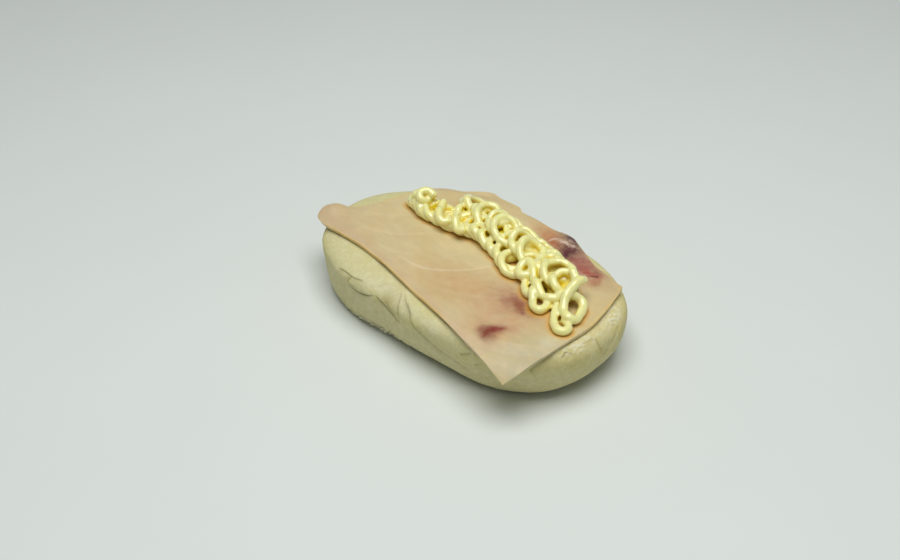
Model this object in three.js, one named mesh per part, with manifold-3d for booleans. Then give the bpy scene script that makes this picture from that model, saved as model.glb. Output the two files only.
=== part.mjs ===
// Open half of a soft bread roll, cut face up, with one thin slice of pale cured fish laid on it
// and a long looped line of mayonnaise piped along the slice.
// Millimetres. X runs along the roll, Z is up, and the origin is on the floor under the middle of
// the whole.
import * as THREE from 'three';
import { mergeVertices } from 'three/addons/utils/BufferGeometryUtils.js';
import Module from 'manifold-3d';

const wasm = await Module();
wasm.setup();

// Driving dimensions
const ROLL_LENGTH = 117.2;
const ROLL_WIDTH = 69.6;
const ROLL_HEIGHT = 21.2;
const SLICE_THICKNESS = 1.2;
const SLICE_TURN = -13;        // degrees from the roll's length to the slice's
const STRAND_WIDTH = 2.76;
const GAP = 0.35;              // between pieces that touch

const radians = THREE.MathUtils.degToRad;
const degrees = THREE.MathUtils.radToDeg;
const clamp = THREE.MathUtils.clamp;

// A smooth hump of height 1 round a centre
function hump(value, centre, spread) {
  return Math.exp(-(((value - centre) / spread) ** 2));
}

// The short way round from one direction to another, in degrees
function turnBetween(from, to) {
  return THREE.MathUtils.euclideanModulo(to - from + 180, 360) - 180;
}

function spline(points) {
  return new THREE.SplineCurve(points.map(([x, y]) => new THREE.Vector2(x, y)));
}

// ROLL
// Seen from above it is a superellipse, squarer in three of its quarters, with a shallow waist in
// its front side and a fuller lobe beside that.
const QUARTER_SQUARENESS = [2.6, 1.85, 2.6, 2.5];
const WAIST = { at: -105, spread: 17, share: -0.04 };
const LOBE = { at: -35, spread: 20, share: 0.04 };
const WIDEST_LEVEL = 0.76;     // share of the height at which the roll is widest
const RIM_INSET = 4.2;
const SHOULDERS = [            // directions in which the shoulder under the rim is broader
  { at: -145, spread: 34, more: 10.2 },
  { at: 172, spread: 22, more: 7.5 },
  { at: -95, spread: 32, more: 3.2 },
  { at: 25, spread: 28, more: 3.2 },
];
const ROLL_SEGMENTS = 62;
const FACE_RINGS = 1;
const SIDE_RINGS = 14;
const FOOT_RINGS = 1;
const ROLL_RINGS = FACE_RINGS + SIDE_RINGS + FOOT_RINGS;
const RIM_CROWDING = 0.85;     // below 1 the rings of the side gather towards the foot

function rollReach(angle) {
  const c = Math.cos(angle);
  const s = Math.sin(angle);
  const shares = [(1 + c) * (1 + s), (1 - c) * (1 + s), (1 - c) * (1 - s), (1 + c) * (1 - s)];
  const n = shares.reduce((sum, share, i) => sum + share * QUARTER_SQUARENESS[i], 0) / 4;
  const across = Math.abs(2 * c / ROLL_LENGTH) ** n + Math.abs(2 * s / ROLL_WIDTH) ** n;
  const uneven = [WAIST, LOBE].reduce(
    (sum, { at, spread, share }) => sum + share * hump(degrees(angle), at, spread),
    1,
  );
  return uneven * across ** (-1 / n);
}

// How far the foot and the rim of the cut face stand inside the widest outline
function footInset(angle) {
  return 8.2 + 4.6 * Math.cos(angle) - 0.6 * Math.sin(angle);
}

function rimInset(angle) {
  const turn = degrees(angle);
  return SHOULDERS.reduce(
    (sum, { at, spread, more }) => sum + more * hump(turnBetween(at, turn), 0, spread),
    RIM_INSET,
  );
}

// Creases in the crust: points are the angle in degrees and the height above the floor
const CREASES = [
  {
    line: spline([[-138, 16.9], [-128, 18.1], [-121, 15.1], [-109, 17.6], [-96, 14.4], [-89, 12.8]]),
    depth: 0.6,
    width: 1.1,
  },
  {
    line: spline([[-111, 20.4], [-88, 20.2], [-79, 17.4], [-66, 13.7], [-54, 10.6], [-44, 6.6]]),
    depth: 0.8,
    width: 1.3,
  },
  { line: spline([[-21, 19.8], [-11, 18.9], [-2, 18.6]]), depth: 0.4, width: 1.2 },
  { line: spline([[-140, 2.5], [-116, 4.2], [-100, 5.0], [-82, 4.6]]), depth: 0.5, width: 1.2 },
];
const CREASE_END = 6;          // degrees over which a crease runs out

function creaseDepth(angle, height) {
  const turn = degrees(angle);
  let depth = 0;
  for (const { line, depth: full, width } of CREASES) {
    const first = line.points[0].x;
    const last = line.points.at(-1).x;
    const share = clamp((turn - first) / (last - first), 0, 1);
    const into = clamp((turn - first) / CREASE_END + 1, 0, 1);
    const outOf = clamp((last - turn) / CREASE_END + 1, 0, 1);
    depth += full * into * outOf * hump(height, line.getPoint(share).y, width);
  }
  return depth;
}

// Low swells of the crust, so that no part of it is quite regular
function crustSwell(angle, height) {
  return 0.35 * Math.sin(3 * angle + 0.9) * Math.sin(0.21 * height)
    + 0.22 * Math.sin(7 * angle + 0.15 * height)
    + 0.12 * Math.sin(13 * angle - 0.4 * height);
}

function rollSide(angle, height) {
  const level = clamp(height / ROLL_HEIGHT, 0, 1);
  const below = clamp(1 - level / WIDEST_LEVEL, 0, 1);
  const above = clamp((level - WIDEST_LEVEL) / (1 - WIDEST_LEVEL), 0, 1);
  const inset = footInset(angle) * (1 - Math.sqrt(1 - below * below))
    + rimInset(angle) * (1 - Math.sqrt(1 - above * above));
  const relief = crustSwell(angle, height) - creaseDepth(angle, height);
  return rollReach(angle) - inset + relief * Math.sqrt(Math.sin(Math.PI * level));
}

// Rings go from the middle of the cut face out to its rim, down the side and in to the middle
// of the underside; a ring gives its height and its share of the way out.
function rollRing(ring) {
  if (ring <= FACE_RINGS) return [ROLL_HEIGHT, ring / FACE_RINGS];
  if (ring >= ROLL_RINGS - FOOT_RINGS) return [0, (ROLL_RINGS - ring) / FOOT_RINGS];
  const down = ((ring - FACE_RINGS) / SIDE_RINGS) ** RIM_CROWDING;
  return [ROLL_HEIGHT * (1 + Math.cos(Math.PI * down)) / 2, 1];
}

function breadRoll() {
  const geometry = new THREE.SphereGeometry(1, ROLL_SEGMENTS, ROLL_RINGS);
  const place = geometry.getAttribute('position');
  for (let i = 0; i < place.count; i += 1) {
    const ring = Math.round(Math.acos(clamp(place.getY(i), -1, 1)) / Math.PI * ROLL_RINGS);
    const pole = ring === 0 || ring === ROLL_RINGS;
    const angle = Math.atan2(-place.getZ(i), place.getX(i));
    const [height, share] = rollRing(ring);
    const reach = pole ? 0 : rollSide(angle, height) * share;
    place.setXYZ(i, reach * Math.cos(angle), reach * Math.sin(angle), height);
  }
  return closed(geometry);
}

// SLICE
// Its outline is four edges in the slice's own axes, u along it and v across it; one corner
// bends down over the roll's side and the opposite one lifts and curls over.
const SLICE_EDGES = {
  front: spline([
    [-53.4, -27.4], [-51.4, -29.3], [-46, -30], [-38, -29.2], [-30, -27.9], [-22, -26.8], [-10, -26.3],
    [10, -26.3], [55.8, -25.8],
  ]),
  back: spline([
    [-38.5, 21], [-33, 27], [-27.5, 29.7], [-20.5, 29.6], [-13.5, 31], [-10.5, 30.1], [-3, 32],
    [5, 33.4], [11, 34.2], [23.6, 32], [29, 31.4], [42.3, 31.6],
  ]),
  far: spline([
    [-53.4, -27.4], [-54, -23.8], [-51, -20.4], [-46.8, -16.6], [-45, -10], [-44.4, 0],
    [-44, 9], [-42, 14], [-38.5, 21],
  ]),
  near: spline([
    [55.8, -25.8], [56.3, -19], [56, -12], [55.5, -4], [53.5, 8.4], [50.3, 17.2], [45.3, 26.7],
    [42.3, 31.6],
  ]),
};
const SLICE_CELLS = [28, 15];
// Where the slice bends down: a point of the line where that starts, the way down and the radius
const BENDS = [
  { start: new THREE.Vector2(30, -26.5), way: new THREE.Vector2(0.654, -0.756), radius: 21 },
  { start: new THREE.Vector2(-50.5, -26.6), way: new THREE.Vector2(-0.42, -0.908), radius: 5 },
];
const CORNER_REACH = 10;       // how far past its line the first bend has taken over from the sag
const CORNER_LEAD = 10;        // how far before its line it starts to
const CURL = { at: new THREE.Vector2(-51, -23.5), spread: 4.4, rise: 2.5 };
const SHOULDER_SAG = 1.8;      // how far the slice sinks at the roll's widest outline
const BACK_MARGIN = { from: 22, width: 9 };
const BACK_RISES = [{ at: -20, spread: 24, height: 1.8 }, { at: 14, spread: 18, height: 1.6 }];
const EDGE_STEP = 1e-3;        // share of the slice over which its slope is measured

// A point of the flat slice at shares s along and t across, blended from its four edges
function slicePlan(s, t) {
  const { front, back, far, near } = SLICE_EDGES;
  const between = (a, b, share) => a.clone().lerp(b, share);
  const alongEdges = between(front.getPointAt(s), back.getPointAt(s), t);
  const acrossEdges = between(far.getPointAt(t), near.getPointAt(t), s);
  const frontCorners = between(front.getPoint(0), front.getPoint(1), s);
  const backCorners = between(back.getPoint(0), back.getPoint(1), s);
  return alongEdges.add(acrossEdges).sub(between(frontCorners, backCorners, t));
}

// 0 over the cut face of the roll, rising to 1 over its widest outline
function onShoulder(u, v) {
  const { x, y } = fromSlice(u, v, 0);
  const angle = Math.atan2(y, x);
  return clamp(1 - (rollReach(angle) - Math.hypot(x, y)) / rimInset(angle), 0, 1);
}

function beyondStart({ start, way }, point) {
  return point.clone().sub(start).dot(way);
}

// Height of the slice's lower face above the cut face of the roll
function sliceLift(u, v) {
  const out = onShoulder(u, v);
  const beyond = beyondStart(BENDS[0], new THREE.Vector2(u, v));
  const past = clamp((beyond + CORNER_LEAD) / (CORNER_REACH + CORNER_LEAD), 0, 1);
  const ripple = 0.25 * (1 + Math.sin(0.21 * u + 0.12 * v))
    + 0.12 * (1 + Math.sin(0.5 * u - 0.3 * v));
  const margin = clamp((v - BACK_MARGIN.from) / BACK_MARGIN.width, 0, 1) ** 2;
  const back = BACK_RISES.reduce(
    (sum, { at, spread, height }) => sum + height * clamp(1 - Math.abs(at - u) / spread, 0, 1) ** 2,
    0,
  );
  const sag = SHOULDER_SAG * out ** 2 * (1 - past) * (1 - margin);
  const curl = CURL.rise * hump(Math.hypot(u - CURL.at.x, v - CURL.at.y), 0, CURL.spread);
  return ripple * (1 - out) ** 2 + margin * back + curl - sag;
}

function fromSlice(u, v, height) {
  const up = new THREE.Vector3(0, 0, 1);
  return new THREE.Vector3(u, v, height).applyAxisAngle(up, radians(SLICE_TURN));
}

// A point midway between the slice's two faces
function sliceMiddle(s, t) {
  const flat = slicePlan(s, t);
  const bent = flat.clone();
  let height = ROLL_HEIGHT + GAP + SLICE_THICKNESS / 2 + sliceLift(flat.x, flat.y);
  for (const bend of BENDS) {
    const past = Math.max(beyondStart(bend, flat), 0);
    bent.addScaledVector(bend.way, bend.radius * Math.sin(past / bend.radius) - past);
    height -= bend.radius * (1 - Math.cos(past / bend.radius));
  }
  return fromSlice(bent.x, bent.y, height);
}

function sliceNormal(s, t) {
  const [before, after] = [Math.max(s - EDGE_STEP, 0), Math.min(s + EDGE_STEP, 1)];
  const [inFront, behind] = [Math.max(t - EDGE_STEP, 0), Math.min(t + EDGE_STEP, 1)];
  const along = sliceMiddle(after, t).sub(sliceMiddle(before, t));
  const across = sliceMiddle(s, behind).sub(sliceMiddle(s, inFront));
  return along.cross(across).normalize();
}

function sliceSheet() {
  const geometry = new THREE.BoxGeometry(1, 1, 1, SLICE_CELLS[0], SLICE_CELLS[1], 1);
  const place = geometry.getAttribute('position');
  for (let i = 0; i < place.count; i += 1) {
    const s = clamp(place.getX(i) + 0.5, 0, 1);
    const t = clamp(place.getY(i) + 0.5, 0, 1);
    const face = Math.sign(place.getZ(i));
    const point = sliceMiddle(s, t);
    point.addScaledVector(sliceNormal(s, t), face * SLICE_THICKNESS / 2);
    place.setXYZ(i, point.x, point.y, point.z);
  }
  return closed(geometry);
}

// MAYONNAISE
// A coil is a pen that goes round and round while its centre moves: a row holds one turn's
// centre u and v, in the slice's axes, and its radius.
const FRONT_COIL = {
  turns: [
    [-36.2, 2, 2], [-34.6, 2.2, 2.8], [-31.2, 2.4, 3.6], [-27.4, 2.4, 4], [-23.8, 3.4, 4.3],
    [-19.8, 5.2, 4.5], [-16, 6.8, 4.4], [-12.4, 8.2, 4.3], [-8.4, 9.5, 4.3], [-4.4, 10.3, 4.3],
    [-0.2, 10.7, 4.4], [4.4, 10.6, 4.5], [9.8, 9.4, 4.7], [15.4, 7.9, 4.8], [15.6, 7.9, 4.8],
  ],
  start: 200,
  way: 1,
  count: 13.42,
};
const FAR_COIL = {
  turns: [[-34, 2.2, 1.7], [-31.2, 2, 2], [-28.4, 2.2, 2.2]],
  start: 30,
  way: -1,
  count: 1.9,
};
const BOWL_COIL = { turns: [[34.8, 12.6, 4], [35.6, 12.4, 3.8]], start: 150, way: -1, count: 1 };
const BACK_COIL = {
  turns: [
    [-14, 17.6, 3.6], [-8, 18.2, 4.2], [-1, 18.4, 4.4], [6.5, 18.4, 4.5], [14, 18.2, 4.6],
    [21, 17.6, 4.6], [27.5, 16.6, 4.6], [32, 15.2, 4.6],
  ],
  start: 90,
  way: -1,
  count: 6.9,
};
const TOP_COIL = {
  turns: [
    [-23.2, 17.4, 3.7], [-20.2, 17.2, 4], [-14.8, 16.7, 3.8], [-10, 14.3, 4.6], [-3, 14.6, 4.2],
    [1.8, 13.8, 4.9], [9.3, 15.5, 4.3], [14.9, 14.6, 5], [22.8, 15.6, 4.5], [30.6, 13.8, 4.9],
    [31.2, 13.4, 4.8], [35.9, 12, 3.5], [36.3, 12, 3.3],
  ],
  start: 150,
  way: 1,
  count: 11.9,
};
// Stretches of the strand that follow no coil
const FALLING_LINE = [[-26, 7.4], [-24.6, 5.5], [-22, 2.8], [-19, 0.4], [-16.4, 0.2], [-14.8, 2.4]];
const DROPPED_LINE = [
  [-23.4, 15], [-21.5, 12], [-19, 8.4], [-15.6, 5.2], [-12.2, 2.8], [-9.6, 2.4], [-8, 4.2],
];
const NEAR_LINE = [
  [20.9, 10], [22.4, 7.9], [24.4, 5.6], [27.4, 3.2], [30.6, 2.2], [32, 3.6], [30.6, 5.6],
  [29.9, 5.9], [31.2, 3.7], [33.9, 1.5], [37, -0.4], [39.4, 0.1], [39.2, 2.6], [37.6, 4.8],
  [38.3, 7], [40.1, 7], [41.6, 5.2], [43.8, 2.7], [46.5, 0.4], [49.8, -0.8], [51.8, 0.3],
  [51.2, 2.4], [49, 3.5], [46.6, 3.6],
];
const NOOSE_LINE = [
  [23.4, 8.6], [23.4, 6.6], [21.9, 5.3], [19.9, 6.3], [18.8, 8.3], [19.2, 10.2], [21.3, 10.2],
  [24.6, 8.6], [28.1, 6.7], [31.4, 5], [35, 4.3], [37.6, 5.2], [39.6, 7.3], [41, 9.8],
  [42, 12.2], [43.4, 13.4], [45.4, 13], [48, 10.6], [49.9, 7.2], [49.8, 4.8], [47.4, 4.3],
  [44.4, 5.6], [42.4, 7.8], [41, 10.8], [40.2, 14.6], [39.2, 18.2],
];

const TURN_POINTS = 60;
const LAY_STEP = 0.5;          // spacing of the points while the strand is being laid
const PRESS = 0.68;            // share of its width that one pass keeps where it lies on another
const STEEPEST = 0.7;          // rise over run where the strand climbs or falls
const LAY_ROUNDS = 10;
const OWN_POINTS = 8;          // points behind one on its own run that can't carry it
const SETTLE_POINTS = 4;       // points on each side that a height is averaged with
const STRAND_SIDES = 5;
const RING_SPACING = 6;        // points laid for each ring of the solid
const TANGENT_POINTS = 2;
const PIECE_RINGS = 3;         // rings to a piece, few enough that no piece meets itself

// The hand wavers, so no two turns are alike
function waver(turn) {
  return 1 + 0.05 * Math.sin(5.1 * turn) + 0.04 * Math.sin(11.3 * turn);
}

function coil({ turns, start, way, count }) {
  const centres = spline(turns);
  const radii = spline(turns.map(([, , radius], i) => [i, radius]));
  const points = [];
  for (let turn = 0; turn <= count; turn += 1 / TURN_POINTS) {
    const share = Math.min(turn / (turns.length - 1), 1);
    const angle = radians(start) + way * 2 * Math.PI * turn;
    const radius = radii.getPoint(share).y * waver(turn);
    const centre = centres.getPoint(share);
    points.push([centre.x + radius * Math.cos(angle), centre.y + radius * Math.sin(angle)]);
  }
  return points;
}

function evenly(points, step) {
  const curve = spline(points);
  curve.arcLengthDivisions = points.length * 8;
  return curve.getSpacedPoints(Math.round(curve.getLength() / step)).map(({ x, y }) => [x, y]);
}

// The strand's runs in the order in which they are laid
function strandPlan() {
  return [
    coil(FRONT_COIL),
    FALLING_LINE,
    coil(FAR_COIL),
    NEAR_LINE,
    coil(BOWL_COIL),
    coil(BACK_COIL),
    DROPPED_LINE,
    coil(TOP_COIL),
    NOOSE_LINE,
  ].map((run) => evenly(run, LAY_STEP));
}

function restingHeight(u, v) {
  return ROLL_HEIGHT + 2 * GAP + SLICE_THICKNESS + sliceLift(u, v) + STRAND_WIDTH / 2;
}

// For each point, the earlier points that it lies over and how far above each it has to be
function findRests(points) {
  const reach = STRAND_WIDTH * PRESS;
  return points.map((p, i) => {
    const rests = [];
    for (let k = 0; k < i; k += 1) {
      const q = points[k];
      const own = q.run === p.run && p.order - q.order <= OWN_POINTS;
      const apart = (p.u - q.u) ** 2 + (p.v - q.v) ** 2;
      if (!own && apart < reach * reach) rests.push([k, Math.sqrt(reach * reach - apart)]);
    }
    return rests;
  });
}

// Each run rests on the slice or on the strand that is already there
function layStrand() {
  const runs = strandPlan();
  const points = runs.flatMap((run, r) => run.map(([u, v], order) => ({ u, v, run: r, order })));
  const rests = findRests(points);
  const floor = points.map((p) => restingHeight(p.u, p.v));
  const fall = STEEPEST * LAY_STEP;
  let heights = [...floor];
  for (let round = 0; round < LAY_ROUNDS; round += 1) {
    heights = floor.map((low, i) => Math.max(low, ...rests[i].map(([k, lift]) => heights[k] + lift)));
    for (let i = 1; i < heights.length; i += 1) {
      if (points[i].order > 0) heights[i] = Math.max(heights[i], heights[i - 1] - fall);
    }
    for (let i = heights.length - 2; i >= 0; i -= 1) {
      if (points[i + 1].order > 0) heights[i] = Math.max(heights[i], heights[i + 1] - fall);
    }
  }
  const laid = runs.map(() => []);
  points.forEach((p, i) => {
    let total = 0;
    let weight = 0;
    for (let k = -SETTLE_POINTS; k <= SETTLE_POINTS; k += 1) {
      if (points[i + k]?.run === p.run) {
        const part = SETTLE_POINTS + 1 - Math.abs(k);
        total += part * heights[i + k];
        weight += part;
      }
    }
    laid[p.run].push(fromSlice(p.u, p.v, total / weight));
  });
  return laid;
}

// A stretch of a run, whose end rings are the same as those of the stretches beside it
class StrandStretch extends THREE.Curve {
  constructor(run, from, to) {
    super();
    this.run = run;
    this.stops = [];
    for (let ring = from; ring <= to; ring += 1) this.stops.push(ring * RING_SPACING);
  }

  getSpacedPoints() {
    return this.stops.map((stop) => this.run[stop].clone());
  }

  computeFrenetFrames() {
    const up = new THREE.Vector3(0, 0, 1);
    const last = this.run.length - 1;
    const tangents = this.stops.map((stop) => {
      const ahead = this.run[Math.min(stop + TANGENT_POINTS, last)];
      return ahead.clone().sub(this.run[Math.max(stop - TANGENT_POINTS, 0)]).normalize();
    });
    const normals = tangents.map((tangent) => up.clone().cross(tangent).normalize());
    const binormals = tangents.map((tangent, i) => tangent.clone().cross(normals[i]).normalize());
    return { tangents, normals, binormals };
  }
}

// A polygon with the area of the round strand and a flat side down
function strandSection() {
  const sector = 2 * Math.PI / STRAND_SIDES;
  const reach = STRAND_WIDTH / 2 * Math.sqrt(sector / Math.sin(sector));
  const first = (sector - Math.PI) / 2;
  const corners = [];
  for (let side = 0; side < STRAND_SIDES; side += 1) {
    const turn = first + side * sector;
    corners.push(new THREE.Vector2(reach * Math.cos(turn), reach * Math.sin(turn)));
  }
  return new THREE.Shape(corners);
}

function mayonnaise() {
  const section = strandSection();
  let whole = null;
  for (const run of layStrand()) {
    const rings = Math.floor((run.length - 1) / RING_SPACING);
    for (let from = 0; from < rings; from += PIECE_RINGS) {
      const to = Math.min(from + PIECE_RINGS, rings);
      const extrudePath = new StrandStretch(run, from, to);
      const stretch = new THREE.ExtrudeGeometry(section, { steps: to - from, extrudePath });
      whole = whole ? whole.add(solid(closed(stretch))) : solid(closed(stretch));
    }
  }
  return fromSolid(whole.decompose().reduce((a, b) => (b.volume() > a.volume() ? b : a)));
}

// Meshes and solids
function closed(geometry) {
  geometry.deleteAttribute('normal');
  geometry.deleteAttribute('uv');
  return mergeVertices(geometry, 1e-4);
}

function solid(geometry) {
  return new wasm.Manifold(new wasm.Mesh({
    numProp: 3,
    vertProperties: new Float32Array(geometry.getAttribute('position').array),
    triVerts: new Uint32Array(geometry.getIndex().array),
  }));
}

function fromSolid(manifold) {
  const mesh = manifold.getMesh();
  const geometry = new THREE.BufferGeometry();
  geometry.setAttribute('position', new THREE.BufferAttribute(mesh.vertProperties, 3));
  geometry.setIndex(new THREE.BufferAttribute(mesh.triVerts, 1));
  return geometry;
}

function piece(name, geometry, color, roughness) {
  geometry.computeVertexNormals();
  const material = new THREE.MeshStandardMaterial({ color, roughness, metalness: 0 });
  const mesh = new THREE.Mesh(geometry, material);
  mesh.name = name;
  return mesh;
}

const sandwich = new THREE.Group();
sandwich.position.set(-0.2, 0.75, 0);    // puts the origin under the middle of the whole
sandwich.add(
  piece('bread_roll', breadRoll(), 0xd8d3a6, 0.85),
  piece('cured_slice', sliceSheet(), 0xcfae8c, 0.45),
  piece('mayonnaise', mayonnaise(), 0xeee9b0, 0.2),
);

export default sandwich;
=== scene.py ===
import math

import bpy
import numpy as np
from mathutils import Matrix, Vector, kdtree, noise


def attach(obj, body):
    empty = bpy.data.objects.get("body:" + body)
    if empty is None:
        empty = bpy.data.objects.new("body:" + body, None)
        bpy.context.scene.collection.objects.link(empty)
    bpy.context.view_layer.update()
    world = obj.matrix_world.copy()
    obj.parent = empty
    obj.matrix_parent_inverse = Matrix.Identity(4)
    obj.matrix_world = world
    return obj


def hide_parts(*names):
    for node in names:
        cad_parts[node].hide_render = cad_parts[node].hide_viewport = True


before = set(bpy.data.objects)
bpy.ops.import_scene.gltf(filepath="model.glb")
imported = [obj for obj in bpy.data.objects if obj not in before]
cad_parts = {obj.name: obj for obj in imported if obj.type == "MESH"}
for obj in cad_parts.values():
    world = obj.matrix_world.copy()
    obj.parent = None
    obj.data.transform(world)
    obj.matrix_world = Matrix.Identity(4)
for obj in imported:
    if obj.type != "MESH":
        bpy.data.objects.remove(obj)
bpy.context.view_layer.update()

# BREAD ROLL
# The lower half of a soft, pale roll, cut flat and laid crust down. Its floured skin is thin and
# matt, with fine wrinkles and a few folds where the dough was tucked in by hand, and the cut face
# is open white crumb.
MM = 0.001
WHOLE_SHIFT = np.array([-0.2, 0.75, 0.0])
ROLL_LENGTH = 117.2
ROLL_WIDTH = 69.6
ROLL_HEIGHT = 21.2
QUARTER_SQUARENESS = (2.6, 1.85, 2.6, 2.5)
WAIST = (-105, 17, -0.04)
LOBE = (-35, 20, 0.04)
WIDEST_LEVEL = 0.76
ROLL_SEGMENTS = 620
FACE_RINGS = 24
SIDE_RINGS = 124
FOOT_RINGS = 8
SEEN_SIDE = -46                # degrees; the segments are closest here
SEEN_CROWDING = 0.45
SKIN_INSET = 0.48              # the skin's relief starts from this far inside the solid's side


def hump(value, centre, spread):
    return np.exp(-(((value - centre) / spread) ** 2))


def through(rows, share):
    """A smooth curve through the rows, at shares of its length in rows."""
    rows = np.asarray(rows, float)
    at = np.clip(np.asarray(share, float), 0, 1) * (len(rows) - 1)
    i = np.clip(np.floor(at).astype(int), 0, len(rows) - 2)
    t = (at - i)[:, None]
    before, a, b, after = (rows[np.clip(i + k, 0, len(rows) - 1)] for k in (-1, 0, 1, 2))
    out = (b - before) / 2
    into = (after - a) / 2
    return (2 * a - 2 * b + out + into) * t**3 + (3 * b - 3 * a - 2 * out - into) * t**2 + out * t + a


def grain(points, size, octaves=3):
    """Even noise from -1 to 1 with features of that size in millimetres."""
    points = np.asarray(points, float) / size
    return np.array([noise.fractal(Vector(p), 0.9, 2.0, octaves) for p in points])


def roll_reach(angle):
    c, s = np.cos(angle), np.sin(angle)
    shares = ((1 + c) * (1 + s), (1 - c) * (1 + s), (1 - c) * (1 - s), (1 + c) * (1 - s))
    n = sum(share * q for share, q in zip(shares, QUARTER_SQUARENESS)) / 4
    across = np.abs(2 * c / ROLL_LENGTH) ** n + np.abs(2 * s / ROLL_WIDTH) ** n
    uneven = 1 + sum(share * hump(np.degrees(angle), at, spread) for at, spread, share in (WAIST, LOBE))
    return uneven * across ** (-1 / n)


def foot_inset(angle):
    return 8.2 + 4.6 * np.cos(angle) - 0.6 * np.sin(angle)


def around(angle, centre, spread):
    """A hump round one direction, both in degrees, that also reaches it the other way round."""
    away = (np.degrees(angle) - centre + 180) % 360 - 180
    return hump(away, 0, spread)


# Directions in which the shoulder above the widest level is broad, and by how many millimetres
SHOULDERS = ((-145, 34, 10.2), (172, 22, 7.5), (-95, 32, 3.2), (25, 28, 3.2))


def rim_inset(angle):
    return 4.2 + sum(more * around(angle, centre, spread) for centre, spread, more in SHOULDERS)


def crust_swell(angle, height):
    return (0.35 * np.sin(3 * angle + 0.9) * np.sin(0.21 * height)
            + 0.22 * np.sin(7 * angle + 0.15 * height) + 0.12 * np.sin(13 * angle - 0.4 * height))


def roll_side(angle, height):
    level = np.clip(height / ROLL_HEIGHT, 0, 1)
    below = np.clip(1 - level / WIDEST_LEVEL, 0, 1)
    above = np.clip((level - WIDEST_LEVEL) / (1 - WIDEST_LEVEL), 0, 1)
    inset = (foot_inset(angle) * (1 - np.sqrt(1 - below**2))
             + rim_inset(angle) * (1 - np.sqrt(1 - above**2)))
    return roll_reach(angle) - inset + crust_swell(angle, height) * np.sqrt(np.sin(np.pi * level))


def roll_point(angle, height):
    reach = roll_side(angle, height)
    return np.stack([reach * np.cos(angle), reach * np.sin(angle), height], -1)


# Creases in the skin as direction in degrees and height: how far the skin on the left of the line
# bulges out over the skin on its right, how deep the line is cut in and how wide that cut is.
CREASES = (
    ([(-136.4, 17.4), (-133.2, 18.1), (-127.2, 18.4), (-123.4, 18.8), (-120.8, 19.2)], 0.4, 0.45, 0.32),
    ([(-127.2, 18.2), (-128.0, 17.0), (-126.4, 15.6), (-122.6, 14.9), (-117.8, 15.4), (-109.4, 17.4)],
     0.45, 0.55, 0.34),
    ([(-109.4, 17.4), (-105.8, 16.9), (-101.6, 16.3), (-96, 14.5), (-89.6, 12.6)], 0.3, 0.5, 0.3),
    ([(-112.2, 19.1), (-112, 20.2), (-109, 20.7), (-99.8, 20.9)], 0.8, 0.1, 0.4),
    ([(-96.5, 20.8), (-93.6, 20.1), (-91.2, 18.2), (-89.6, 15.6), (-89.2, 12.7)], 0.5, 0.3, 0.3),
    ([(-95, 20.9), (-92, 20.8), (-87.8, 20.2), (-82.6, 19.1), (-79.2, 17.2), (-76, 15.8), (-70.8, 14.5),
      (-65.8, 13.2), (-61.2, 12.2), (-55.4, 11.2), (-49.4, 9.6), (-45, 6.7)], 0.55, 0.35, 0.36),
    ([(-87, 20.5), (-83.2, 19.8), (-79, 18.6)], 0.2, 0.25, 0.3),
    ([(-101.8, 17.7), (-97.6, 16.6), (-92.6, 14.4)], 0.2, 0.2, 0.3),
    ([(-50.8, 15.2), (-48, 16.4), (-45.8, 17.6)], 0.3, 0.25, 0.4),
    ([(-44.8, 12.9), (-41.8, 14.8)], 0.2, 0.2, 0.4),
    ([(-27.4, 15.6), (-24.2, 18.9), (-19.5, 20.6)], 0.6, 0.3, 0.5),
    ([(-17.4, 19.2), (-15.2, 20.3), (-13.4, 19.2)], 0.8, 0.3, 0.4),
    ([(-12.4, 20.7), (-6, 20.5), (-3.2, 19.9), (-2.8, 17.9), (-1.6, 14.4), (-2.4, 11)], -0.55, 0.4, 0.35),
    ([(10.6, 19.3), (6.4, 16.8), (2, 13.8), (-0.8, 10.8)], 0.35, 0.1, 0.5),
    ([(112, 14), (124, 15.5), (137, 13.5), (150, 15)], 0.6, 0.4, 0.5),
    ([(60, 9), (72, 12), (85, 11.5), (95, 13.5)], 0.5, 0.4, 0.5),
)
CREASE_SWELL = 1.3             # multiplies every bulge
CREASE_CUT = 1.4               # multiplies every depth
CREASE_FADE = 3.4              # millimetres from the line over which the bulge dies away
LIP_WIDTH = 0.4                # how soft the step from the upper skin to the lower one is


def nearest(points, line):
    """How far each point is from a line of straight steps, how far along that is and at which step."""
    best = np.full(len(points), 1e9)
    along = np.zeros(len(points))
    at = np.zeros(len(points), int)
    for k, (a, b) in enumerate(zip(line[:-1], line[1:])):
        step = b - a
        t = np.clip((points - a) @ step / (step @ step), 0, 1)
        away = np.linalg.norm(points - a - t[:, None] * step, axis=1)
        closer = away < best
        best[closer] = away[closer]
        along[closer] = (k + t[closer]) / (len(line) - 1)
        at[closer] = k
    return best, along, at


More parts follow.
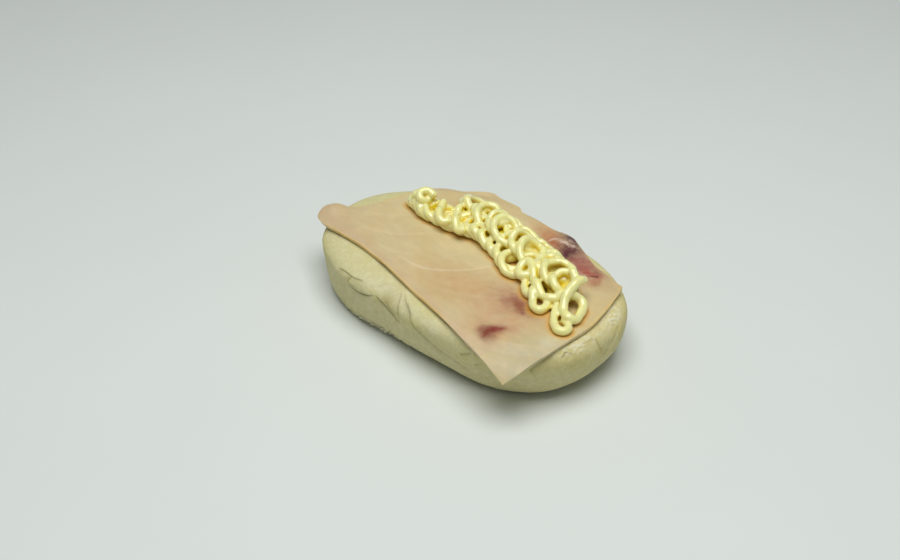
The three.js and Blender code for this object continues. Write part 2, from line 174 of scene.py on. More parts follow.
def crease_relief(angle, height, points):
    """Outward relief of the creases, and how much painted shade each point gets, darkest at a crease's lip
    and fading over the skin below it.
    """
    relief = np.zeros(len(points))
    crease_shade = np.zeros(len(points))
    chart = np.stack([np.degrees(angle), height], 1)
    for rows, bulge, depth, width in CREASES:
        line = through(rows, np.linspace(0, 1, 6 * len(rows)))
        away, along, at = nearest(points, roll_point(np.radians(line[:, 0]), line[:, 1]))
        step, out = line[at + 1] - line[at], chart - line[at]
        left = np.sign(step[:, 0] * out[:, 1] - step[:, 1] * out[:, 0])
        ends = np.clip(np.minimum(along, 1 - along) * 6, 0, 1)
        over = np.clip(0.5 + left * away / LIP_WIDTH, 0, 1)
        relief += CREASE_SWELL * bulge * ends * (over - 0.7) * np.exp(-((away / CREASE_FADE) ** 1.3))
        relief -= CREASE_CUT * depth * ends * np.exp(-((away / width) ** 2))
        under = -left * away
        # painted shade: darkest at the lip, fading over 0.5 mm of the skin below it and 0.12 mm above it
        crease_shade += ends * min(1, 3 * depth) * np.exp(-np.abs(under) / np.where(under > 0, 0.5, 0.12))
    return relief, np.clip(crease_shade, 0, 1)


bpy.ops.object.select_all(action="DESELECT")
bpy.ops.mesh.primitive_uv_sphere_add(segments=ROLL_SEGMENTS, ring_count=FACE_RINGS + SIDE_RINGS + FOOT_RINGS)
roll = bpy.context.active_object
roll.name = "crust_and_crumb"
count = len(roll.data.vertices)
ball = np.zeros(count * 3)
roll.data.vertices.foreach_get("co", ball)
ball = ball.reshape(-1, 3)
ring = np.round(np.arccos(np.clip(ball[:, 2], -1, 1)) / np.pi * (FACE_RINGS + SIDE_RINGS + FOOT_RINGS))
turn = np.arctan2(ball[:, 1], ball[:, 0])
angle = turn - SEEN_CROWDING * np.sin(turn - math.radians(SEEN_SIDE))
angle = np.arctan2(np.sin(angle), np.cos(angle))
share = np.clip(np.where(ring <= FACE_RINGS, ring / FACE_RINGS,
                         (FACE_RINGS + SIDE_RINGS + FOOT_RINGS - ring) / FOOT_RINGS), 0, 1)
share = np.where(ring <= FACE_RINGS, 1 - (1 - share) ** 1.6, share)
down = np.clip((ring - FACE_RINGS) / SIDE_RINGS, 0, 1)
height = ROLL_HEIGHT * (1 + np.cos(np.pi * down**0.93)) / 2
shell = roll_point(angle, height)
seat = np.sqrt(np.sin(np.pi * np.clip(height / ROLL_HEIGHT, 0, 1)))
creases, crease_shade = crease_relief(angle, height, shell)
lower = np.clip((15.5 - height) / 4, 0, 1)
wrinkles = np.exp(-((grain(shell * (1, 1, 0.7) + 20, 5, 2) / 0.045) ** 2))
relief = (creases - SKIN_INSET + 0.2 * grain(shell + 40, 8) - (0.03 + 0.06 * lower) * wrinkles
          + (0.03 + 0.05 * lower) * grain(shell * (1, 1, 1.5), 1.3))
torn = around(angle, -112, 20) * hump(height, 2.0, 1.9)
flaked = ((around(angle, 10, 7) + 0.8 * around(angle, -11, 9)) * np.clip((height - 18.6) / 1.6, 0, 1)
          * (ring >= FACE_RINGS))
rough = grain(shell + 90, 1.0)
reach = np.hypot(shell[:, 0], shell[:, 1]) + relief * seat + torn * (2.2 * rough - 0.1) + flaked * 0.5 * rough
crumb = np.clip(1 - (ROLL_HEIGHT - height) * 2, 0, 1) * (ring <= FACE_RINGS)
place = np.stack([reach * np.cos(angle) * share, reach * np.sin(angle) * share, height], 1)
holes = np.clip(grain(place + 7, 2.2, 4) - 0.05, 0, 1)
place[:, 2] -= np.where(ring < FACE_RINGS, 0.15 + 1.1 * holes, 0) * np.clip((1 - share) * 12, 0, 1)
roll.data.vertices.foreach_set("co", ((place + WHOLE_SHIFT) * MM).ravel())


def paint(red, green, blue):
    """A colour as seen on a screen, 0 to 255, as the shader's linear values."""
    return tuple(((c / 255 + 0.055) / 1.055) ** 2.4 for c in (red, green, blue)) + (1.0,)


def stained(tint, share, colour):
    share = np.clip(share, 0, 1)[:, None]
    return tint * (1 - share) + share * np.array(paint(*colour))


def keep_tint(piece, tint):
    layer = piece.data.attributes.new("tint", "FLOAT_COLOR", "POINT")
    layer.data.foreach_set("color", tint.astype(np.float32).ravel())


# The skin is creamier towards the near end and greyer below; flour and torn crumb are nearly white
tint = np.tile(np.array(paint(216, 209, 158)), (count, 1))
for share, colour in (
        (0.5 + 1.0 * grain(shell + 60, 12, 2), (214, 207, 148)),
        (0.8 * around(angle, 0, 46), (218, 205, 140)),
        (0.35 * lower, (220, 212, 172)),
        # a painted highlight: a light band along the upper shoulder on the seen side
        (0.4 * hump(height, 19.6, 1.4) * around(angle, -100, 45), (236, 232, 202)),
        # painted shade where the shoulder is flattened; the skin itself is not flattened here
        (0.7 * around(angle, -101, 6) * hump(height, 18, 2.0), (182, 170, 118)),  # a flattened patch
        (0.3 * np.clip(2 * grain(shell + 15, 4, 5), 0, 1), (230, 226, 188)),
        (0.2 * np.clip(2 * grain(shell * (1, 1, 2) + 33, 2.5, 5), 0, 1) * lower, (186, 176, 126)),
        # painted shade along the creases
        (0.6 * crease_shade, (138, 124, 78)),
        # painted shade in the furrows of the fine wrinkles
        (0.15 * wrinkles * lower, (176, 164, 116)),
        (0.35 * np.clip(1 - height / 4, 0, 1), (160, 148, 106)),                  # painted shade at the foot
        (0.8 * (torn + flaked) * np.clip(0.5 + 2 * rough, 0, 1), (240, 236, 208)),
        (crumb, (236, 229, 184)),
        # painted shade in the holes of the crumb
        (crumb * np.clip(3 * holes, 0, 1), (206, 194, 138))):
    tint = stained(tint, share, colour)
keep_tint(roll, tint)
roll.data.update()
bpy.ops.object.shade_smooth()


def new_material(name):
    material = bpy.data.materials.new(name)
    material.use_nodes = True
    return material, material.node_tree.nodes, material.node_tree.links


def noise_node(nodes, links, where, size, detail=4, roughness=0.6):
    node = nodes.new("ShaderNodeTexNoise")
    node.inputs["Scale"].default_value = 1 / (size * MM)
    node.inputs["Detail"].default_value = detail
    node.inputs["Roughness"].default_value = roughness
    links.new(where, node.inputs["Vector"])
    return node.outputs["Fac"]


def ramp_node(nodes, links, value, *stops):
    node = nodes.new("ShaderNodeValToRGB")
    ramp = node.color_ramp
    while len(ramp.elements) < len(stops):
        ramp.elements.new(0.5)
    for element, (at, colour) in zip(ramp.elements, stops):
        element.position = at
        element.color = colour
    links.new(value, node.inputs["Fac"])
    return node.outputs["Color"]


def mottled_tint(nodes, links, where, size, dark, light):
    """The tint painted on the piece, multiplied by a fine mottle."""
    tint = nodes.new("ShaderNodeAttribute")
    tint.attribute_name = "tint"
    mottle = ramp_node(nodes, links, noise_node(nodes, links, where, size, 6),
                       (0.3, (dark, dark, dark, 1)), (0.7, (light, light, light, 1)))
    node = nodes.new("ShaderNodeMix")
    node.data_type = "RGBA"
    node.blend_type = "MULTIPLY"
    node.inputs["Factor"].default_value = 1.0
    links.new(tint.outputs["Color"], node.inputs["A"])
    links.new(mottle, node.inputs["B"])
    return node.outputs["Result"]


def bump_node(nodes, links, height, strength, depth):
    node = nodes.new("ShaderNodeBump")
    node.inputs["Strength"].default_value = strength
    node.inputs["Distance"].default_value = depth * MM
    links.new(height, node.inputs["Height"])
    return node.outputs["Normal"]


crust, nodes, links = new_material("floured_crust")
shader = nodes["Principled BSDF"]
where = nodes.new("ShaderNodeTexCoord").outputs["Object"]
links.new(mottled_tint(nodes, links, where, 1.1, 0.9, 1.04), shader.inputs["Base Color"])
shader.inputs["Roughness"].default_value = 0.75
shader.inputs["Subsurface Weight"].default_value = 0.12
shader.inputs["Subsurface Radius"].default_value = (1.0, 0.75, 0.4)
shader.inputs["Subsurface Scale"].default_value = 2.0 * MM
shader.inputs["Specular IOR Level"].default_value = 0.25
links.new(bump_node(nodes, links, noise_node(nodes, links, where, 0.8, 6), 0.55, 0.3),
          shader.inputs["Normal"])
roll.data.materials.append(crust)
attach(roll, "root")
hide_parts("bread_roll")

# CURED SLICE
# One thin slice cut across a side of cured pale fish, laid over the roll with its corner hanging
# over the near end. Pale lines run between its flakes, and the dark muscle and a bruise show red.
SLICE_THICKNESS = 1.2
SLICE_TURN = math.radians(-13)
GAP = 0.35
SLICE_FRONT = ((-53.4, -27.4), (-51.4, -29.3), (-46, -30), (-38, -29.2), (-30, -27.9), (-22, -26.8),
               (-10, -26.3), (10, -26.3), (55.8, -25.8))
SLICE_BACK = ((-38.5, 21), (-33, 27), (-27.5, 29.7), (-20.5, 29.6), (-13.5, 31), (-10.5, 30.1), (-3, 32),
              (5, 33.4), (11, 34.2), (23.6, 32), (29, 31.4), (42.3, 31.6))
SLICE_FAR = ((-53.4, -27.4), (-54, -23.8), (-51, -20.4), (-46.8, -16.6), (-45, -10), (-44.4, 0), (-44, 9),
             (-42, 14), (-38.5, 21))
SLICE_NEAR = ((55.8, -25.8), (56.3, -19), (56, -12), (55.5, -4), (53.5, 8.4), (50.3, 17.2), (45.3, 26.7),
              (42.3, 31.6))
SLICE_CELLS = (230, 130)
SLICE_TRIM = 0.996               # the cut edges are drawn in by this share of the outline
# Where the slice bends down: a point of the line where that starts, the way down and the radius
BENDS = (((30, -26.5), (0.654, -0.756), 21.0), ((-50.5, -26.6), (-0.42, -0.908), 5.0))
CURL_CREST = (-51, -23.5)
CURL_SPREAD = 4.4
CURL_RISE = 2.5
SHOULDER_SAG = 1.8


def evenly(rows, shares):
    """Points of the smooth curve through the rows at shares of its length in millimetres."""
    fine = through(rows, np.linspace(0, 1, 600))
    run = np.r_[0, np.cumsum(np.linalg.norm(np.diff(fine, axis=0), axis=1))]
    at = np.asarray(shares) * run[-1]
    return np.stack([np.interp(at, run, fine[:, k]) for k in range(fine.shape[1])], -1)


def slice_plan(s, t):
    front, back = evenly(SLICE_FRONT, s), evenly(SLICE_BACK, s)
    far, near = evenly(SLICE_FAR, t), evenly(SLICE_NEAR, t)
    corners = [np.array(c) for c in (SLICE_FRONT[0], SLICE_FRONT[-1], SLICE_BACK[0], SLICE_BACK[-1])]
    s, t = s[:, None], t[:, None]
    flat = (1 - t) * ((1 - s) * corners[0] + s * corners[1]) + t * ((1 - s) * corners[2] + s * corners[3])
    return (1 - t) * front + t * back + (1 - s) * far + s * near - flat


def in_roll_axes(u, v):
    c, s = math.cos(SLICE_TURN), math.sin(SLICE_TURN)
    return u * c - v * s, u * s + v * c


def on_shoulder(u, v):
    """0 over the cut face of the roll, rising to 1 over its widest outline."""
    x, y = in_roll_axes(u, v)
    angle = np.arctan2(y, x)
    return np.clip(1 - (roll_reach(angle) - np.hypot(x, y)) / rim_inset(angle), 0, 1)


def slice_lift(u, v):
    """Height of the slice's lower face above the cut face of the roll."""
    beyond = (u - BENDS[0][0][0]) * BENDS[0][1][0] + (v - BENDS[0][0][1]) * BENDS[0][1][1]
    past = np.clip((beyond + 10) / 20, 0, 1)
    out = on_shoulder(u, v)
    ripple = 0.25 * (1 + np.sin(0.21 * u + 0.12 * v)) + 0.12 * (1 + np.sin(0.5 * u - 0.3 * v))
    margin = np.clip((v - 22) / 9, 0, 1) ** 2
    back = sum(rise * np.clip(1 - np.abs(at - u) / spread, 0, 1) ** 2
               for at, spread, rise in ((-20, 24, 1.8), (14, 18, 1.6)))
    away = np.hypot(u - CURL_CREST[0], v - CURL_CREST[1])
    return (ripple * (1 - out) ** 2 - SHOULDER_SAG * out**2 * (1 - past) * (1 - margin)
            + margin * back + CURL_RISE * hump(away, 0, CURL_SPREAD))


def from_slice(u, v, height):
    x, y = in_roll_axes(u, v)
    return np.stack([x, y, height], -1) + WHOLE_SHIFT


def slice_middle(plan):
    height = ROLL_HEIGHT + GAP + SLICE_THICKNESS / 2 + slice_lift(plan[:, 0], plan[:, 1])
    bent = plan.copy()
    for start, way, radius in BENDS:
        past = np.clip((plan - start) @ np.array(way), 0, None)
        bent += (radius * np.sin(past / radius) - past)[:, None] * np.array(way)
        height = height - radius * (1 - np.cos(past / radius))
    return from_slice(bent[:, 0], bent[:, 1], height)


bpy.ops.object.select_all(action="DESELECT")
bpy.ops.mesh.primitive_grid_add(x_subdivisions=SLICE_CELLS[0], y_subdivisions=SLICE_CELLS[1], size=1)
fish = bpy.context.active_object
fish.name = "cured_fish"
flat = np.zeros(len(fish.data.vertices) * 3)
fish.data.vertices.foreach_get("co", flat)
flat = SLICE_TRIM * flat.reshape(-1, 3) + 0.5
plan = slice_plan(flat[:, 0], flat[:, 1])
middle = slice_middle(plan)
u, v = plan.T


def line_mask(points, rows, width):
    away, along, _ = nearest(points, through(rows, np.linspace(0, 1, 40)))
    return np.exp(-((away / width) ** 2)) * np.clip(np.minimum(along, 1 - along) * 6, 0, 1) ** 0.5


def blot(centre, spread, turn=0.0):
    c, s = math.cos(math.radians(turn)), math.sin(math.radians(turn))
    du, dv = u - centre[0], v - centre[1]
    return np.exp(-(((du * c + dv * s) / spread[0]) ** 2) - (((dv * c - du * s) / spread[1]) ** 2))


# Pale lines between the flakes: line, width and how plain it is
FLAKE_LINES = (
    ([(-12.7, -20), (-7.9, -19), (-4.5, -18), (-0.5, -15.1), (2.4, -11.8), (6.5, -6.6), (9, 0), (9.6, 5)],
     0.5, 1.0),
    ([(-3.8, -8), (-3.4, -5), (-2.2, -0.8), (0.1, 4)], 0.6, 0.35),
    ([(-34.5, -21.2), (-29.3, -17.8), (-22.5, -12), (-19.5, -7), (-17.9, -2.7)], 0.7, 0.5),
    ([(-22, -21.8), (-17.6, -20.9), (-12.8, -18), (-9, -13)], 0.7, 0.35),
    ([(-40, -14), (-35, -9), (-31, -1), (-29, 6)], 0.8, 0.35),
    ([(12, -19), (18, -14.5), (24, -7), (28, 0)], 0.7, 0.25),
)
flake = sum(strength * line_mask(plan, rows, width) for rows, width, strength in FLAKE_LINES)
place = middle - np.array([0, 0, 0.12]) * np.clip(flake, 0, 1)[:, None]
fish.data.vertices.foreach_set("co", (place * MM).ravel())

# Stains on the flesh and one painted highlight, from the palest to the darkest: centre, spread, turn, share,
# colour. The hanging tip is made greyer and darker, and the small whitish spot beside it is the painted
# highlight.
STAINS_AND_HIGHLIGHT = (
    ((-48, -20), (9, 8), 0, 0.5, (212, 186, 148)),
    ((4, -12), (16, 7), 35, 0.55, (216, 186, 138)),
    ((16, -11), (15, 8), 30, 0.75, (210, 174, 124)),
    ((30, -9), (12, 8), 20, 0.6, (208, 168, 128)),
    ((30, -2), (9.5, 5), 0, 0.85, (176, 124, 98)),
    ((40.3, -14.6), (5, 6.5), 0, 0.6, (214, 156, 118)),
    ((32, -19), (4, 6), 0, 0.35, (208, 158, 124)),
    ((54, -15), (9, 14), -15, 0.85, (196, 184, 142)),
    ((51, -10.5), (2.2, 1.6), 60, 0.5, (198, 178, 124)),
    # a painted highlight on the bent-down tip
    ((52, -5), (2.4, 4), 0, 0.5, (232, 226, 196)),
    ((25.5, 27.5), (11, 6), 0, 0.95, (168, 106, 92)),
    ((5.5, 29.5), (7, 4), 0, 0.8, (196, 134, 92)),
    ((11, 28), (3.5, 2.5), 0, 0.75, (176, 100, 68)),
    ((31.5, 27), (3.6, 3.2), 0, 0.6, (176, 92, 78)),
    ((35.4, 25.4), (2.2, 2.4), 0, 0.6, (172, 108, 74)),
    ((13.4, 32.6), (6.5, 2.2), -12, 0.95, (104, 78, 76)),
    ((18.2, 27.4), (2.8, 3.6), 10, 1.1, (88, 38, 46)),
    ((15.8, 29.4), (3.6, 2.6), 0, 0.85, (106, 56, 54)),
    ((31, 29.5), (1.8, 0.9), 0, 0.7, (110, 62, 60)),
    ((33.6, -2.4), (5.4, 2.6), 10, 0.85, (150, 92, 64)),
    ((36.4, -18.2), (2.3, 2.5), 58, 1.0, (132, 54, 44)),
    ((38.2, -15.4), (3.6, 1.9), 58, 1.0, (140, 56, 46)),
    ((39.2, -19.4), (2.6, 2.2), 0, 0.95, (134, 64, 46)),
    ((42.0, 32.3), (0.9, 0.9), 0, 0.8, (96, 72, 62)),
)
# Thin marks on top of them: line, width, share, colour
MARKS = (
    ([(34.6, -3.4), (35.2, -2), (35.6, -0.9)], 0.5, 0.8, (140, 84, 66)),
    ([(35.6, -3.6), (36.5, -4.4), (37.4, -4.2)], 0.45, 0.7, (150, 92, 72)),
    ([(29, 24.9), (30.2, 26.2), (31.3, 27.5)], 0.4, 0.8, (170, 74, 62)),
    ([(31.9, 25.8), (32.9, 27.1), (33.9, 28.4)], 0.4, 0.9, (120, 58, 54)),
    ([(8.3, 26.9), (8.9, 29.4), (11.1, 30), (14.3, 30.6), (17.7, 31.2)], 0.45, 0.8, (214, 190, 164)),
)
mottle = grain(np.c_[plan, 0 * u], 3.2, 3)
ground = grain(np.c_[plan * (0.45, 1), 0 * u] + 30, 8, 3)
tint = np.tile(np.array(paint(218, 201, 154)), (len(plan), 1))
tint = stained(tint, 0.5 + 1.5 * ground, (214, 193, 144))
tint = stained(tint, 0.55 * hump(v, -27, 4) * (u < 44), (212, 184, 152))
for centre, spread, turn, share, colour in STAINS_AND_HIGHLIGHT:
    tint = stained(tint, share * blot(centre, spread, turn) * (1 + 0.55 * mottle), colour)
tint = stained(tint, 0.6 * flake, (232, 216, 180))
for rows, width, share, colour in MARKS:
    tint = stained(tint, share * line_mask(plan, rows, width) * (1 + mottle), colour)
specks = blot((14.5, 30.8), (4.5, 1.4), 8) * np.clip(6 * grain(np.c_[plan, 0 * u] + 70, 0.9, 2) - 0.6, 0, 1)
tint = stained(tint, specks, (224, 200, 186))
# The rim lets light through: golden over the roll's shoulder, at the far end and at the near end
gold = (np.clip(1 - flat[:, 1] * 58 / 0.7, 0, 1) * np.clip((u + 48) / 6, 0, 1) * np.clip((30 - u) / 8, 0, 1)
        + np.clip(1 - flat[:, 0] * 100 / 1.2, 0, 1) * np.clip((v + 18) / 4, 0, 1)
        + 0.8 * np.clip(1 - (1 - flat[:, 0]) * 100 / 1.6, 0, 1) * np.clip((v - 6) / 6, 0, 1))
tint = stained(tint, 0.7 * gold, (236, 202, 116))
keep_tint(fish, tint)
solidify = fish.modifiers.new("thickness", "SOLIDIFY")
solidify.thickness = SLICE_THICKNESS * MM
solidify.offset = 0
bpy.ops.object.modifier_apply(modifier="thickness")
rounding = fish.modifiers.new("rounding", "BEVEL")
rounding.width = 0.32 * MM
rounding.segments = 2
rounding.angle_limit = math.radians(60)
bpy.ops.object.modifier_apply(modifier="rounding")
bpy.ops.object.shade_smooth()

flesh, nodes, links = new_material("cured_flesh")
shader = nodes["Principled BSDF"]
where = nodes.new("ShaderNodeTexCoord").outputs["Object"]
drawn = nodes.new("ShaderNodeMapping")
drawn.inputs["Rotation"].default_value = (0, 0, -SLICE_TURN)
drawn.inputs["Scale"].default_value = (0.4, 1, 1)
links.new(where, drawn.inputs["Vector"])
links.new(mottled_tint(nodes, links, drawn.outputs["Vector"], 2.0, 0.94, 1.03), shader.inputs["Base Color"])
shader.inputs["Roughness"].default_value = 0.45
shader.inputs["Subsurface Weight"].default_value = 0.4
shader.inputs["Subsurface Radius"].default_value = (1.0, 0.65, 0.35)
shader.inputs["Subsurface Scale"].default_value = 1.6 * MM
links.new(bump_node(nodes, links, noise_node(nodes, links, drawn.outputs["Vector"], 1.2, 5), 0.25, 0.25),
          shader.inputs["Normal"])
fish.data.materials.append(flesh)
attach(fish, "root")
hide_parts("cured_slice")

# MAYONNAISE
# One long line of mayonnaise squeezed from a fine nozzle: it is looped along the front and back
# again on top, and each pass sinks a little into the ones below it.
STRAND_WIDTH = 2.76
# Coils: each turn's centre and radius, where the first turn starts, which way it goes and how many
FRONT_COIL = (
    ((-36.2, 2.0, 2.0), (-34.6, 2.2, 2.8), (-31.2, 2.4, 3.6), (-27.4, 2.4, 4.0), (-23.8, 3.4, 4.3),
     (-19.8, 5.2, 4.5), (-16, 6.8, 4.4), (-12.4, 8.2, 4.3), (-8.4, 9.5, 4.3), (-4.4, 10.3, 4.3),
     (-0.2, 10.7, 4.4),
     (4.4, 10.6, 4.5), (9.8, 9.4, 4.7), (15.4, 7.9, 4.8), (15.6, 7.9, 4.8)), 200, 1, 13.42)
FAR_COIL = (((-34, 2.2, 1.7), (-31.2, 2.0, 2.0), (-28.4, 2.2, 2.2)), 30, -1, 1.9)
BOWL_COIL = (((34.8, 12.6, 4.0), (35.6, 12.4, 3.8)), 150, -1, 1.0)
BACK_COIL = (
    ((-14, 17.6, 3.6), (-8, 18.2, 4.2), (-1, 18.4, 4.4), (6.5, 18.4, 4.5), (14, 18.2, 4.6), (21, 17.6, 4.6),
     (27.5, 16.6, 4.6), (32, 15.2, 4.6)), 90, -1, 6.9)
TOP_COIL = (
    ((-23.2, 17.4, 3.7), (-20.2, 17.2, 4.0), (-14.8, 16.7, 3.8), (-10, 14.3, 4.6), (-3, 14.6, 4.2),
     (1.8, 13.8, 4.9), (9.3, 15.5, 4.3), (14.9, 14.6, 5.0), (22.8, 15.6, 4.5), (30.6, 13.8, 4.9),
     (31.2, 13.4, 4.8), (35.9, 12.0, 3.5), (36.3, 12.0, 3.3)), 150, 1, 11.9)
# Stretches that follow no coil
FALLING_LINE = ((-26, 7.4), (-24.6, 5.5), (-22.0, 2.8), (-19, 0.4), (-16.4, 0.2), (-14.8, 2.4))
DROPPED_LINE = ((-23.4, 15.0), (-21.5, 12), (-19, 8.4), (-15.6, 5.2), (-12.2, 2.8), (-9.6, 2.4), (-8, 4.2))
NEAR_LINE = (
    (20.9, 10.0), (22.4, 7.9), (24.4, 5.6), (27.4, 3.2), (30.6, 2.2), (32.0, 3.6), (30.6, 5.6), (29.9, 5.9),
    (31.2, 3.7), (33.9, 1.5), (37.0, -0.4), (39.4, 0.1), (39.2, 2.6), (37.6, 4.8), (38.3, 7.0), (40.1, 7.0),
    (41.6, 5.2), (43.8, 2.7), (46.5, 0.4), (49.8, -0.8), (51.8, 0.3), (51.2, 2.4), (49.0, 3.5), (46.6, 3.6))
NOOSE_LINE = (
    (23.4, 8.6), (23.4, 6.6), (21.9, 5.3), (19.9, 6.3), (18.8, 8.3), (19.2, 10.2), (21.3, 10.2), (24.6, 8.6),
    (28.1, 6.7), (31.4, 5.0), (35.0, 4.3), (37.6, 5.2), (39.6, 7.3), (41.0, 9.8), (42.0, 12.2), (43.4, 13.4),
    (45.2, 12.8), (47.3, 10.3), (49.1, 7.1), (49.0, 4.9), (47.0, 4.5), (44.4, 5.6), (42.4, 7.8),
    (41.0, 10.8), (40.2, 14.6), (39.2, 18.2))
LAY_STEP = 0.5
PRESS = 0.68
STEEPEST = 0.7
LAY_ROUNDS = 10
OWN_POINTS = 8


def coil(turns, start, way, count):
    turn = np.arange(0, count + 1e-9, 1 / 60)
    share = np.minimum(turn / (len(turns) - 1), 1)
    u, v, radius = through(turns, share).T
    radius = radius * (1 + 0.05 * np.sin(5.1 * turn) + 0.04 * np.sin(11.3 * turn))
    angle = math.radians(start) + way * 2 * np.pi * turn
    return np.stack([u + radius * np.cos(angle), v + radius * np.sin(angle)], 1)


def paced(rows, step):
    """The same line with points that far apart."""
    rows = np.asarray(rows, float)
    fine = through(rows, np.linspace(0, 1, 8 * len(rows)))
    run = np.r_[0, np.cumsum(np.linalg.norm(np.diff(fine, axis=0), axis=1))]
    at = np.linspace(0, run[-1], round(run[-1] / step) + 1)
    return np.stack([np.interp(at, run, fine[:, k]) for k in range(fine.shape[1])], -1)


runs = [paced(run, LAY_STEP) for run in (
    coil(*FRONT_COIL), FALLING_LINE, coil(*FAR_COIL), NEAR_LINE, coil(*BOWL_COIL), coil(*BACK_COIL),
    DROPPED_LINE, coil(*TOP_COIL), NOOSE_LINE)]


def lay(runs):
    """Each run rests on the slice or on the strand that is already there."""
    points = np.concatenate(runs)
    run = np.concatenate([np.full(len(r), k) for k, r in enumerate(runs)])
    order = np.arange(len(points))
    reach = STRAND_WIDTH * PRESS
    apart = ((points[:, None] - points[None]) ** 2).sum(-1)
    own = (run[:, None] == run[None]) & (order[:, None] - order[None] <= OWN_POINTS)
    carries = (apart < reach**2) & (order[None] < order[:, None]) & ~own
    lift = np.where(carries, np.sqrt(np.clip(reach**2 - apart, 0, None)), -1e3)
    floor = ROLL_HEIGHT + 2 * GAP + SLICE_THICKNESS + slice_lift(*points.T) + STRAND_WIDTH / 2
    height = floor.copy()
    fall = STEEPEST * LAY_STEP
    for _ in range(LAY_ROUNDS):
        height = np.maximum(floor, (height[None] + lift).max(1))
        for i in range(1, len(height)):
            if run[i] == run[i - 1]:
                height[i] = max(height[i], height[i - 1] - fall)
        for i in range(len(height) - 2, -1, -1):
            if run[i] == run[i + 1]:
                height[i] = max(height[i], height[i + 1] - fall)
    settle = np.array([1, 2, 3, 4, 5, 4, 3, 2, 1.0])
    laid = []
    for k, r in enumerate(runs):
        own_height = height[run == k]
        total = np.convolve(own_height, settle, "same") / np.convolve(np.ones(len(r)), settle, "same")
        laid.append(from_slice(r[:, 0], r[:, 1], total))
    return laid


bpy.ops.object.select_all(action="DESELECT")
line = bpy.data.curves.new("mayonnaise_line", "CURVE")
line.dimensions = "3D"
line.bevel_depth = STRAND_WIDTH / 2 * MM
line.bevel_resolution = 4
line.use_fill_caps = True
laid = lay(runs)
# How thick each run is, as a share of the strand's width: fullest at the near end
FULLNESS = (1.0, 1.02, 1.0, 1.06, 1.06, 1.0, 1.02, 1.0, 1.14)
for points, full in zip(laid, FULLNESS):
    points[:, 2] -= GAP            # the line sinks on to the slice and a little into it
    spline = line.splines.new("POLY")
    spline.points.add(len(points) - 1)
    pace = np.arange(len(points))
    width = full + 0.05 * np.sin(0.31 * pace) + 0.04 * np.sin(0.83 * pace + 1)
    ends = np.minimum(pace, pace[::-1]) * LAY_STEP
    width = width * np.sqrt(np.clip((ends + 0.15) / 1.2, 0, 1) * (2 - np.clip((ends + 0.15) / 1.2, 0, 1)))
    spline.points.foreach_set("co", np.c_[points * MM, np.ones(len(points))].ravel())
    spline.points.foreach_set("radius", width)
mayo = bpy.data.objects.new("mayonnaise_loops", line)
bpy.context.scene.collection.objects.link(mayo)
bpy.context.view_layer.objects.active = mayo
mayo.select_set(True)
bpy.ops.object.convert(target="MESH")
mayo = bpy.context.active_object
remesh = mayo.modifiers.new("fused", "REMESH")
remesh.mode = "VOXEL"
remesh.voxel_size = 0.32 * MM
bpy.ops.object.modifier_apply(modifier="fused")
smooth = mayo.modifiers.new("smooth", "SMOOTH")
smooth.factor = 0.5
smooth.iterations = 4
bpy.ops.object.modifier_apply(modifier="smooth")
bpy.ops.object.shade_smooth()


def shut_in(piece, strands, reach):
    """How much of what each point of the surface faces is strand close by, from 0 to about 1."""
    count = len(piece.data.vertices)
    places, ways = np.zeros(count * 3), np.zeros(count * 3)
    piece.data.vertices.foreach_get("co", places)
    piece.data.vertex_normals.foreach_get("vector", ways)
    places, ways = places.reshape(-1, 3) / MM, ways.reshape(-1, 3)
    share = np.zeros(count)
    for start in range(0, count, 2000):
        part = slice(start, start + 2000)
        out = strands[None] - places[part, None]
        away = np.linalg.norm(out, axis=2)
        facing = np.clip((out * ways[part, None]).sum(2) / away - 0.25, 0, 1)
        share[part] = (facing * np.clip(1 - away / reach, 0, 1)).sum(1)
    return share


# Between the strands the light goes through so much of them that it comes out golden
deep = shut_in(mayo, np.concatenate(laid)[::2], 6.5) / 7
tint = np.tile(np.array(paint(250, 244, 172)), (len(deep), 1))
tint = stained(tint, (deep - 0.06) * 2.2, (234, 212, 46))
tint = stained(tint, (deep - 0.6) * 1.4, (200, 154, 34))
keep_tint(mayo, tint)

# Light that comes through the line makes the slice golden under and beside it, and is painted on
GLOW_REACH = 3.3               # from the middle of the line
GLOW_FADE = 1.6
strand = np.concatenate(laid)
tree = kdtree.KDTree(len(strand))
for i, point in enumerate(strand):
    tree.insert(point, i)
tree.balance()
count = len(fish.data.vertices)
spots, tint = np.zeros(count * 3), np.zeros(count * 4)
fish.data.vertices.foreach_get("co", spots)
fish.data.attributes["tint"].data.foreach_get("color", tint)
away = np.array([tree.find(spot)[2] for spot in spots.reshape(-1, 3) / MM])
glow = np.clip((GLOW_REACH - away) / GLOW_FADE, 0, 1)
tint = stained(tint.reshape(-1, 4), 0.8 * glow, (222, 164, 48))
fish.data.attributes["tint"].data.foreach_set("color", tint.astype(np.float32).ravel())

cream, nodes, links = new_material("mayonnaise_gloss")
shader = nodes["Principled BSDF"]
where = nodes.new("ShaderNodeTexCoord").outputs["Object"]
links.new(mottled_tint(nodes, links, where, 5, 0.96, 1.02), shader.inputs["Base Color"])
shader.inputs["Roughness"].default_value = 0.09
shader.inputs["Subsurface Weight"].default_value = 0.6
shader.inputs["Specular IOR Level"].default_value = 0.65
shader.inputs["Subsurface Radius"].default_value = (1.0, 0.85, 0.25)
shader.inputs["Subsurface Scale"].default_value = 1.8 * MM
shader.inputs["IOR"].default_value = 1.46
shader.inputs["Coat Weight"].default_value = 0.7
shader.inputs["Coat Roughness"].default_value = 0.05
mayo.data.materials.append(cream)
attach(mayo, "root")
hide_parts("mayonnaise")

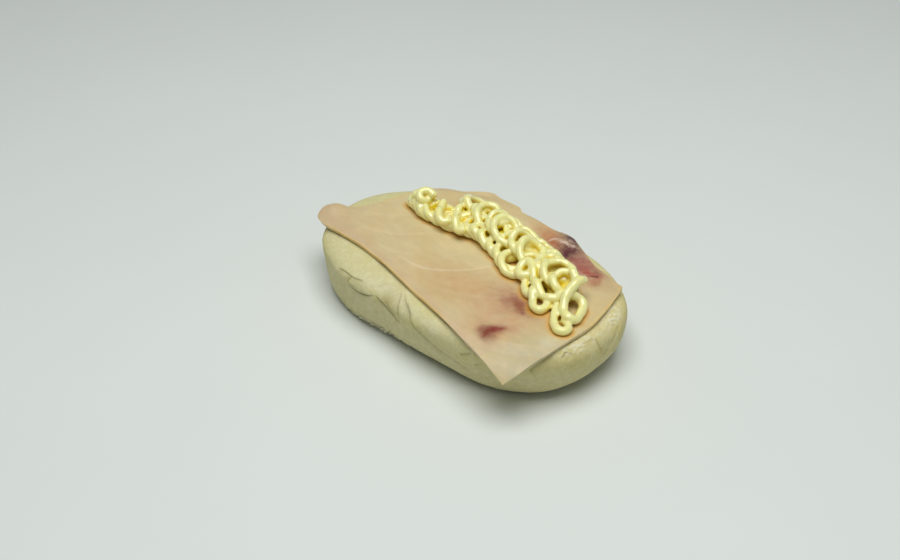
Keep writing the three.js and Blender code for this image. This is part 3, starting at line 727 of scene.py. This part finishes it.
# TABLE, LIGHT AND CAMERA
# A pale table top under a large soft light almost straight above, in a pale room.
bpy.ops.object.select_all(action="DESELECT")
bpy.ops.mesh.primitive_plane_add(size=3)
table = bpy.context.active_object
table.name = "table_top"
table.data.transform(table.matrix_world)
surface, nodes, links = new_material("pale_table")
shader = nodes["Principled BSDF"]
where = nodes.new("ShaderNodeTexCoord").outputs["Object"]
links.new(ramp_node(nodes, links, noise_node(nodes, links, where, 180),
                    (0.3, paint(222, 228, 224)), (0.7, paint(225, 231, 227))), shader.inputs["Base Color"])
shader.inputs["Roughness"].default_value = 0.7
shader.inputs["Specular IOR Level"].default_value = 0.2
table.data.materials.append(surface)

world = bpy.data.worlds.new("pale_room")
bpy.context.scene.world = world
world.use_nodes = True
world.node_tree.nodes["Background"].inputs["Color"].default_value = (0.97, 1.0, 0.985, 1)
world.node_tree.nodes["Background"].inputs["Strength"].default_value = 0.18

lamp = bpy.data.lights.new("overhead_softbox", "AREA")
lamp.shape = "RECTANGLE"
lamp.size = 0.58
lamp.size_y = 0.5
lamp.energy = 4.55
lamp.color = (1.0, 0.995, 0.98)
lamp_holder = bpy.data.objects.new("overhead_softbox", lamp)
bpy.context.scene.collection.objects.link(lamp_holder)
lamp_holder.location = (0.07, -0.06, 0.72)
lamp_holder.rotation_euler = (Vector((0, 0, 0.01)) - lamp_holder.location).to_track_quat("-Z", "Y").to_euler()

CAMERA_AZIMUTH = math.radians(43.6)
CAMERA_ELEVATION = math.radians(35.9)
CAMERA_DISTANCE = 0.434
CAMERA_AIM = Vector((-0.00526, -0.00302, 0.01205))
back = Vector((math.sin(CAMERA_AZIMUTH) * math.cos(CAMERA_ELEVATION),
               -math.cos(CAMERA_AZIMUTH) * math.cos(CAMERA_ELEVATION), math.sin(CAMERA_ELEVATION)))
camera = bpy.data.objects.new("camera", bpy.data.cameras.new("camera"))
camera.data.lens = 51
camera.data.sensor_width = 36
camera.data.clip_start = 0.01
camera.location = CAMERA_AIM + back * CAMERA_DISTANCE
camera.rotation_euler = back.to_track_quat("Z", "Y").to_euler()
bpy.context.scene.collection.objects.link(camera)
bpy.context.scene.camera = camera
bpy.context.scene.view_settings.view_transform = "Standard"
